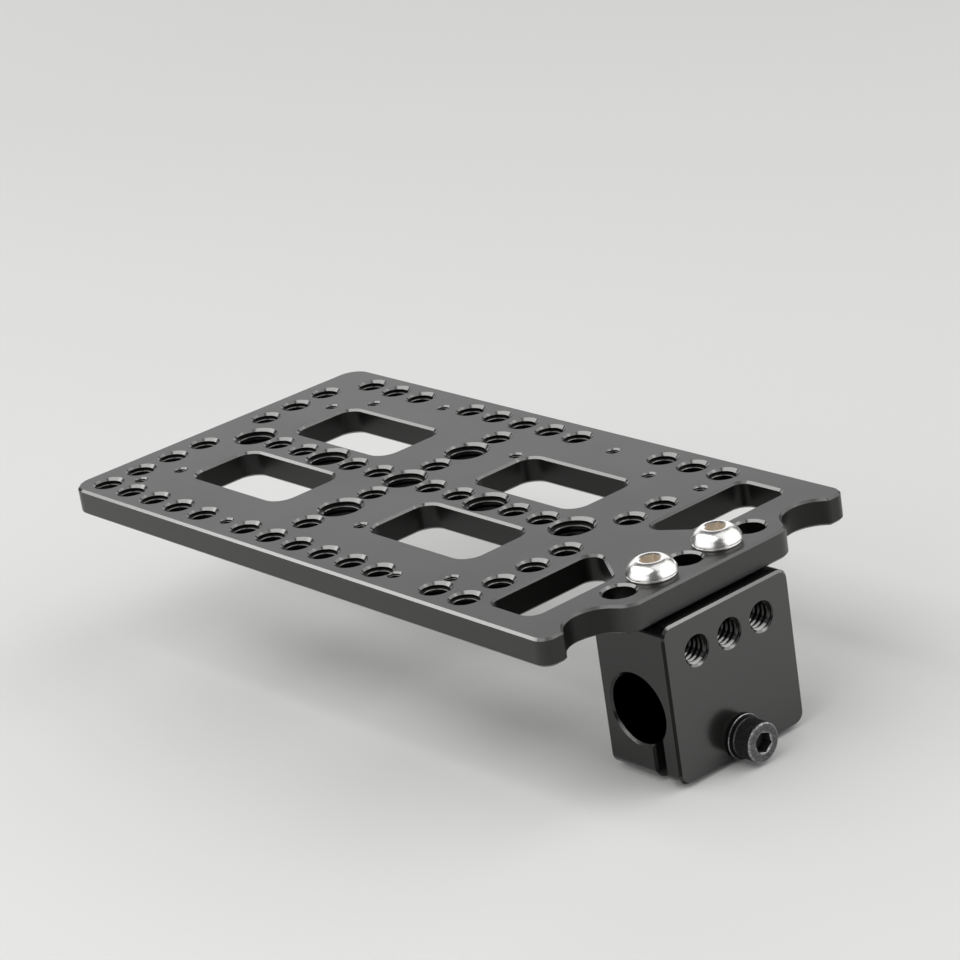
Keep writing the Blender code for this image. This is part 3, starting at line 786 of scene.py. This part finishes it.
def key_cutters(width, depth, top, turn=0.0):
    """Return the cutters of a key socket: its hexagon, its drilled bottom and the break at its mouth."""
    corner, bottom = width / sqrt(3), top - depth
    hexagon = turned("key", [(0, bottom), (corner, bottom), (corner, top + EPSILON), (0, top + EPSILON)], 6)
    drill = turned("key_drill", [
        (0, bottom - KEY_POINT), (width * KEY_DRILL, bottom + EPSILON), (0, bottom + EPSILON),
    ], 32)
    mouth = turned("key_mouth", [
        (0, top - corner * MOUTH_DEPTH), (corner * MOUTH_RADIUS, top + EPSILON / 2), (0, top + EPSILON / 2),
    ], 48)
    return place(hexagon, Matrix.Rotation(turn, 4, "Z")), drill, mouth


def threaded_shank(name, thread_diameter, pitch, reach):
    """Return a screw's threaded shank below height 0, with a chamfered tip."""
    diameter = thread_diameter - THREAD_PLAY
    radius, chamfer, top = diameter / 2, TIP_CHAMFER * pitch, SHANK_OVERLAP + EPSILON
    shank = thread(
        name, diameter - ROOT * pitch, diameter, pitch, -reach - EPSILON, SHANK_OVERLAP, 0, 32)
    tip = turned("tip", [
        (0, -reach), (radius - chamfer, -reach), (radius + EPSILON, -reach + chamfer + EPSILON),
        (radius + EPSILON, top), (0, top),
    ], 48)
    return combine(shank, tip, "INTERSECT")


# The plate screws' flange and groove: how far in from the rim, and how high; then the dome's foot:
# how far in, and how far below the dome
GROOVE = (
    (0.00040, 0), (0.00026, 0.00008), (0.00022, 0.00020), (0.00024, 0.00034), (0.00038, 0.00044),
    (0.00040, 0.00056),
)
DOME_FOOT = ((0.00018, 0.00020), (0.00005, 0.00008))
DOME_STEPS = 18
# Gap under the plate screws' heads; reach of a socket's faces, rougher and with a painted tan reflection,
# over the key's width, and their least height
SEAT_GAP, SOCKET_REACH, SOCKET_LEVEL = 0.00002, 0.56, 0.0005


def button_screw():
    """Return a plate screw with its underside at height 0: a thin flange, a groove and the dome."""
    s = sizes().screws
    rim, flat, top, lip = s.button_head / 2, s.button_flat / 2, s.button_height, s.button_lip
    centre = (top * top + flat * flat - lip * lip - rim * rim) / (2 * (top - lip))
    dome = hypot(rim, lip - centre)
    low, high = atan2(lip - centre, rim), atan2(top - centre, flat)
    arc = []
    for i in range(DOME_STEPS + 1):
        angle, full = low + (high - low) * i / DOME_STEPS, pi / 2 * i / DOME_STEPS
        round_r, round_z = dome * cos(angle), centre + dome * sin(angle)
        full_r, full_z = flat + (rim - flat) * cos(full), lip + (top - lip) * sin(full)
        arc.append((
            round_r + (full_r - round_r) * s.button_fullness,
            round_z + (full_z - round_z) * s.button_fullness,
        ))
    groove = [(rim - inset, z) for inset, z in GROOVE]
    foot = [(rim - inset, lip - drop) for inset, drop in DOME_FOOT]
    screw = turned("button_screw", [(0, 0), *groove, *foot, *arc, (0, top)], 96)
    shank = threaded_shank("button_shank", s.button_shank, s.button_pitch, s.button_length)
    combine(screw, shank, "UNION")
    return cut(screw, *key_cutters(s.key, s.button_key_depth, top))


class CHEESEPLATE_OT_plate_screws(bpy.types.Operator):
    """Turn one plate screw and set its two copies"""
    bl_idname = "cheese_plate.set_plate_screws"
    bl_label = "Plate screws"

    def execute(self, context):
        s, h, k = sizes().plate, sizes().holes, sizes().screws
        finish = bright_steel("bright_steel")
        first = button_screw()
        for node, y in (("plate_screw_front", -h.pitch), ("plate_screw_rear", h.pitch)):
            screw = copy_to(first, Matrix.Translation((0, y, s.top + SEAT_GAP)))
            screw.name = node + "_polished"
            # The socket's faces are marked for a rougher finish and a painted tan reflection
            mark_cuts_and_light(screw, lambda face: (
                hypot(face.center.x, face.center.y - y) < k.key * SOCKET_REACH
                and face.center.z > s.top + SOCKET_LEVEL and face.normal.z < FACING))
            dress(screw, finish, node)
        bpy.data.objects.remove(first, do_unlink=True)
        return {"FINISHED"}


# The foot of the clamp screw's head: how far in from the wall, and how high; the wall's upper rings
HEAD_FOOT = ((0.0003, 0), (0.00008, 0.0001), (0, 0.0003), (0, 0.0004), (0, 0.0006))
HEAD_RINGS = (0.0003, 0.0001)
# The knurl's start, its end below the rim, a radius inside it, and a groove's radius over a ridge's
KNURL_START, KNURL_END, KNURL_INSIDE, KNURL_GROOVE = 0.0005, 0.0002, 0.0035, 0.95
# Marks of the clamp screw's wall, a little lighter, and of its end face, painted lighter as lit
WALL_MARK, END_MARK = 0.12, 0.27


def knurl(screw, count, low, high):
    """Press every other vertex of the head's wall inwards to make straight ridges."""
    step = pi / count
    edit(screw)
    pick(screw, "verts", lambda v: (
        low < v.co.z < high and hypot(v.co.x, v.co.y) > KNURL_INSIDE
        and round(atan2(v.co.y, v.co.x) / step) % 2 == 1))
    bpy.ops.transform.resize(value=(KNURL_GROOVE, KNURL_GROOVE, 1), center_override=(0, 0, 0))
    leave()


def clamp_mark(face):
    """Return the mark of a face of the clamp screw: bright on the worn rim of its head, which also carries a
    painted highlight.
    """
    s = sizes().screws
    if face.center.x < CLAMP_HIGH[0] - s.clamp_rim:
        return WALL_MARK
    if hypot(face.center.y, face.center.z - s.clamp_level) < s.key / 2:
        return SKIN
    return END_MARK if face.normal.x > 0.97 else CUT_AND_HIGHLIGHT


class CHEESEPLATE_OT_clamp_screw(bpy.types.Operator):
    """Turn the clamp screw, knurl its head and cut its socket"""
    bl_idname = "cheese_plate.set_clamp_screw"
    bl_label = "Clamp screw"

    def execute(self, context):
        s = sizes().screws
        head, rim, height = s.clamp_head / 2, s.clamp_rim, s.clamp_height
        shoulder = height - rim
        foot = [(head - inset, z) for inset, z in HEAD_FOOT]
        wall = [(head, shoulder - drop) for drop in HEAD_RINGS]
        turns = [pi / 12 * i for i in range(7)]
        corner = [(head - rim + rim * cos(turn), shoulder + rim * sin(turn)) for turn in turns]
        profile = [(0, 0), *foot, *wall, *corner, (0, height)]
        screw = turned("clamp_screw_black", profile, 2 * s.ridges)
        knurl(screw, s.ridges, KNURL_START, shoulder - KNURL_END)
        shank = threaded_shank("clamp_shank", s.clamp_shank, s.clamp_pitch, s.clamp_length)
        combine(screw, shank, "UNION")
        cut(screw, *key_cutters(s.key, s.clamp_key_depth, height, s.clamp_key_turn))
        place(screw, Matrix.Translation((CLAMP_HIGH[0] - height, 0, s.clamp_level)) @ ALONG_X)
        mark_cuts_and_light(screw, clamp_mark)
        dress(screw, black_oxide("black_oxide"), "clamp_screw")
        return {"FINISHED"}


# Size of the washer's rounded edges
WASHER_EDGE = 0.00012


class CHEESEPLATE_OT_washer(bpy.types.Operator):
    """Turn the thin washer under the clamp screw"""
    bl_idname = "cheese_plate.set_washer"
    bl_label = "Washer"

    def execute(self, context):
        s = sizes().screws
        outer, hole = (WASHER_HIGH[1] - WASHER_LOW[1]) / 2, s.washer_hole / 2
        low, high, soft = WASHER_LOW[0], WASHER_HIGH[0], WASHER_EDGE
        washer = turned("washer_black", [
            (hole, low), (outer - soft, low), (outer, low + soft), (outer, high - soft),
            (outer - soft, high), (hole, high), (hole, low),
        ], 96)
        place(washer, Matrix.Translation((0, 0, s.clamp_level)) @ ALONG_X)
        # Grey marks on the rounded edges: worn oxide and a painted highlight of the rim
        mark_cuts_and_light(washer, lambda face: 0.3 < abs(face.normal.x) < FACING)
        dress(washer, black_oxide("washer_oxide"), "clamp_washer")
        return {"FINISHED"}


class Value:
    """A number in a shader: one node socket, with Python's operators."""

    def __init__(self, tree, socket):
        self.tree, self.socket = tree, socket

    def math(self, operation, first, second):
        return self.tree.node("ShaderNodeMath", {"operation": operation}, [first, second])

    def __add__(self, other):
        return self.math("ADD", self, other)

    def __mul__(self, other):
        return self.math("MULTIPLY", self, other)

    def __sub__(self, other):
        return self.math("SUBTRACT", self, other)

    def __rsub__(self, other):
        return self.math("SUBTRACT", other, self)

    __radd__, __rmul__ = __add__, __mul__


class Finish:
    """A material's node tree."""

    def __init__(self, name):
        self.material = bpy.data.materials.new(name)
        self.material.use_nodes = True
        self.nodes, self.links = self.material.node_tree.nodes, self.material.node_tree.links
        self.shader = self.nodes["Principled BSDF"]

    def node(self, kind, settings, inputs, output=0):
        """Add a node, give it its settings, then its values and links; return one output."""
        node = self.nodes.new(kind)
        for name, value in settings.items():
            setattr(node, name, value)
        items = inputs.items() if isinstance(inputs, dict) else enumerate(inputs)
        for key, value in items:
            self.feed(node.inputs[key], value)
        return Value(self, node.outputs[output])

    def feed(self, socket, value):
        """Link a value to a socket, or set it."""
        if isinstance(value, Value):
            self.links.new(value.socket, socket)
        else:
            socket.default_value = value

    def set(self, **inputs):
        """Feed the shader's sockets, named with underscores for spaces."""
        for name, value in inputs.items():
            self.feed(self.shader.inputs[name.replace("_", " ")], value)
        return self.material

    def noise(self, scale, detail):
        """Return noise that is fixed to the piece, of so many grains in a metre."""
        where = self.node("ShaderNodeTexCoord", {}, [], "Object")
        return self.node("ShaderNodeTexNoise", {}, {"Vector": where, "Scale": scale, "Detail": detail}, "Fac")

    def blend(self, factor, first, second):
        """Mix two colours."""
        inputs = {0: factor, 6: first, 7: second}
        return self.node("ShaderNodeMix", {"data_type": "RGBA"}, inputs, 2)

    def clamp(self, value, low, high):
        """Keep a value between two bounds."""
        return self.node("ShaderNodeClamp", {}, {"Value": value, "Min": low, "Max": high})

    def bump(self, height, strength, distance):
        """Return the normals of a relief."""
        inputs = {"Height": height, "Strength": strength, "Distance": distance}
        return self.node("ShaderNodeBump", {}, inputs)

    def fresh_cut(self):
        """Return the faces' marks of cut metal, painted highlights and painted shade."""
        return self.node("ShaderNodeAttribute", {"attribute_name": "fresh_cut"}, [], "Fac")


def rgba(colour, scale=1.0):
    """Return a colour with its alpha."""
    return (*[channel * scale for channel in colour], 1.0)


def anodised(name, colour, cut_and_highlight_colour, roughness, index):
    """Satin black anodised aluminium: a blasted skin, grey on cut metal with painted highlights, dark metal
    where the marks paint shade.
    """
    f = Finish(name)
    light_marks = f.fresh_cut()
    cloud = f.noise(scale=55.0, detail=3.0)
    grain = f.noise(scale=7000.0, detail=1.0)
    skin = f.blend(cloud, rgba(colour, 0.90), rgba(colour, 1.10))
    # Positive marks blend in the grey of cut metal and painted highlights; negative marks make dark metal,
    # painted shade
    cut_and_highlight, shade_mask = f.clamp(light_marks, 0.0, 1.0), f.clamp(light_marks * -1.0, 0.0, 1.0)
    rough = roughness + (cloud - 0.5) * 0.08 + (grain - 0.5) * 0.06
    return f.set(
        Base_Color=f.blend(cut_and_highlight, skin, rgba(cut_and_highlight_colour)),
        IOR=index,
        Metallic=f.clamp(cut_and_highlight * 2.0, 0.0, 0.85) + shade_mask,
        Roughness=f.clamp(rough - cut_and_highlight * 0.40, 0.13, 0.8),
        Normal=f.bump(grain, strength=0.25, distance=0.00002),
    )


def bright_steel(name):
    """Polished steel with a faint smear; the key socket is rougher and painted tan as a painted reflection.
    """
    colours = sizes().finishes
    f = Finish(name)
    light_marks = f.fresh_cut()
    smear = f.noise(scale=420.0, detail=3.0)
    return f.set(
        Base_Color=f.blend(light_marks, rgba(colours.bright_steel), rgba(colours.socket_reflection_tint)),
        Metallic=1.0,
        Roughness=f.clamp(0.25 + (smear - 0.5) * 0.14 + light_marks * 0.14, 0.05, 0.6),
        Normal=f.bump(f.noise(scale=2600.0, detail=2.0), strength=0.10, distance=0.00001),
    )


# Greys of the worn oxide's patches, which on the marked rims and faces are also painted highlights
WEAR_AND_HIGHLIGHT_DARK, WEAR_AND_HIGHLIGHT_LIGHT = (0.15, 0.15, 0.15), (0.44, 0.44, 0.44)


def black_oxide(name):
    """Black oxide steel, grey on its marked rims and faces: worn along the rims, with painted highlights
    there and on the lighter end face.
    """
    colours = sizes().finishes
    f = Finish(name)
    light_marks = f.fresh_cut()
    mottle = f.noise(scale=900.0, detail=3.0)
    patches = f.clamp((f.noise(scale=2300.0, detail=2.0) - 0.5) * 4.0 + 0.5, 0.0, 1.0)
    skin = f.blend(mottle, rgba(colours.black_steel, 0.7), rgba(colours.black_steel, 1.4))
    return f.set(
        Base_Color=f.blend(light_marks, skin, f.blend(patches, rgba(WEAR_AND_HIGHLIGHT_DARK), rgba(WEAR_AND_HIGHLIGHT_LIGHT))),
        Metallic=0.6 + light_marks * 0.4,
        Roughness=f.clamp(0.32 + (mottle - 0.5) * 0.16, 0.1, 0.8),
        Normal=f.bump(mottle, strength=0.15, distance=0.00002),
    )


def floor_finish():
    """Pale matt floor."""
    colour = sizes().finishes.floor
    f = Finish("pale_floor")
    cloud = f.noise(scale=2.0, detail=2.0)
    return f.set(
        Base_Color=f.blend(cloud, rgba(colour, 0.985), rgba(colour, 1.015)),
        Roughness=0.85,
        Normal=f.bump(f.noise(scale=900.0, detail=2.0), strength=0.1, distance=0.0001),
    )


# The floor's size and its gap below the object, and the strength of the room's light
FLOOR_RADIUS, FLOOR_GAP, WORLD_STRENGTH = 6.0, 0.0002, 0.10
# Each lamp's name, place, target, width, depth and power
PLATE_MIDDLE = (-0.06, 0.0, 0.01)
LAMPS = (
    ("ceiling_strip", (-0.91, -0.59, 1.01), (-0.91, -0.59, 0.0), 2.7, 0.72, 13.6),
    ("ceiling_box", (0.39, 0.40, 1.01), (0.39, 0.40, 0.0), 0.8, 1.0, 2.2),
    ("left_box", (-0.36, -1.00, 0.46), PLATE_MIDDLE, 2.2, 0.9, 6.6),
    ("right_box", (0.665, 0.725, 0.53), PLATE_MIDDLE, 2.4, 1.2, 10.0),
    ("back_left_box", (-1.18, 0.86, 0.55), PLATE_MIDDLE, 1.8, 0.8, 5.0),
)
# The camera that matches the photo
CAMERA_PLACE = (0.42106, -0.37630, 0.26211)
CAMERA_AXES = (
    (0.65145978, 0.74469429, -0.14501923),
    (-0.18041409, 0.33772289, 0.92379327),
    (0.73691988, -0.57565065, 0.35436622),
)
CAMERA_LENS, CAMERA_SENSOR, CAMERA_NEAR = 116.727, 36.0, 0.01


def soft_lamp(name, location, target, width, depth, power):
    """Add a soft rectangular lamp that looks at a point."""
    bpy.ops.object.light_add(type="AREA", location=location)
    lamp = bpy.context.object
    lamp.name = name
    lamp.data.shape = "RECTANGLE"
    lamp.data.size, lamp.data.size_y = width, depth
    lamp.data.energy = power
    lamp.rotation_euler = (Vector(target) - Vector(location)).to_track_quat("-Z", "Y").to_euler()


def soft_world():
    """Give the room an even, pale light."""
    world = bpy.data.worlds.new("studio")
    bpy.context.scene.world = world
    world.use_nodes = True
    background = world.node_tree.nodes["Background"]
    background.inputs["Color"].default_value = (1.0, 1.0, 1.0, 1.0)
    background.inputs["Strength"].default_value = WORLD_STRENGTH


def photo_camera():
    """Set up the camera that matches the photo."""
    data = bpy.data.cameras.new("photo_camera")
    data.sensor_width, data.lens, data.clip_start = CAMERA_SENSOR, CAMERA_LENS, CAMERA_NEAR
    camera = bpy.data.objects.new("photo_camera", data)
    bpy.context.scene.collection.objects.link(camera)
    turn = Matrix(CAMERA_AXES).transposed().to_4x4()
    camera.matrix_world = Matrix.Translation(CAMERA_PLACE) @ turn
    bpy.context.scene.camera = camera


class CHEESEPLATE_OT_stage(bpy.types.Operator):
    """Set up the floor, the lamps, the world and the camera"""
    bl_idname = "cheese_plate.set_stage"
    bl_label = "Stage"

    def execute(self, context):
        bpy.ops.mesh.primitive_circle_add(
            vertices=128, radius=FLOOR_RADIUS, fill_type="NGON", location=(0, 0, CAD_BOX[0][2] - FLOOR_GAP))
        floor = bpy.context.object
        floor.name = "floor"
        bpy.ops.object.transform_apply(location=True, rotation=True, scale=True)
        floor.data.materials.append(floor_finish())
        soft_world()
        for lamp in LAMPS:
            soft_lamp(*lamp)
        photo_camera()
        context.scene.view_settings.view_transform = "Standard"
        return {"FINISHED"}


OPERATORS = (
    CHEESEPLATE_OT_plate, CHEESEPLATE_OT_block, CHEESEPLATE_OT_plate_screws, CHEESEPLATE_OT_clamp_screw,
    CHEESEPLATE_OT_washer, CHEESEPLATE_OT_stage,
)


class CHEESEPLATE_PT_panel(bpy.types.Panel):
    """Lists the pieces of the cheese plate"""
    bl_label = "Cheese plate"
    bl_idname = "CHEESEPLATE_PT_panel"
    bl_space_type = "VIEW_3D"
    bl_region_type = "UI"
    bl_category = "Cheese plate"

    def draw(self, context):
        for operator in OPERATORS:
            self.layout.operator(operator.bl_idname)


CLASSES = (
    PlateSizes, HoleSizes, OpeningSizes, BlockSizes, ScrewSizes, Finishes, CheesePlateSettings,
    *OPERATORS, CHEESEPLATE_PT_panel,
)


def register():
    for item in CLASSES:
        bpy.utils.register_class(item)
    bpy.types.Scene.cheese_plate = PointerProperty(type=CheesePlateSettings)


def unregister():
    del bpy.types.Scene.cheese_plate
    for item in reversed(CLASSES):
        bpy.utils.unregister_class(item)


def main():
    register()
    bpy.ops.cheese_plate.mill_plate()
    bpy.ops.cheese_plate.mill_block()
    bpy.ops.cheese_plate.set_plate_screws()
    bpy.ops.cheese_plate.set_clamp_screw()
    bpy.ops.cheese_plate.set_washer()
    bpy.ops.cheese_plate.set_stage()


if __name__ == "__main__":
    main()
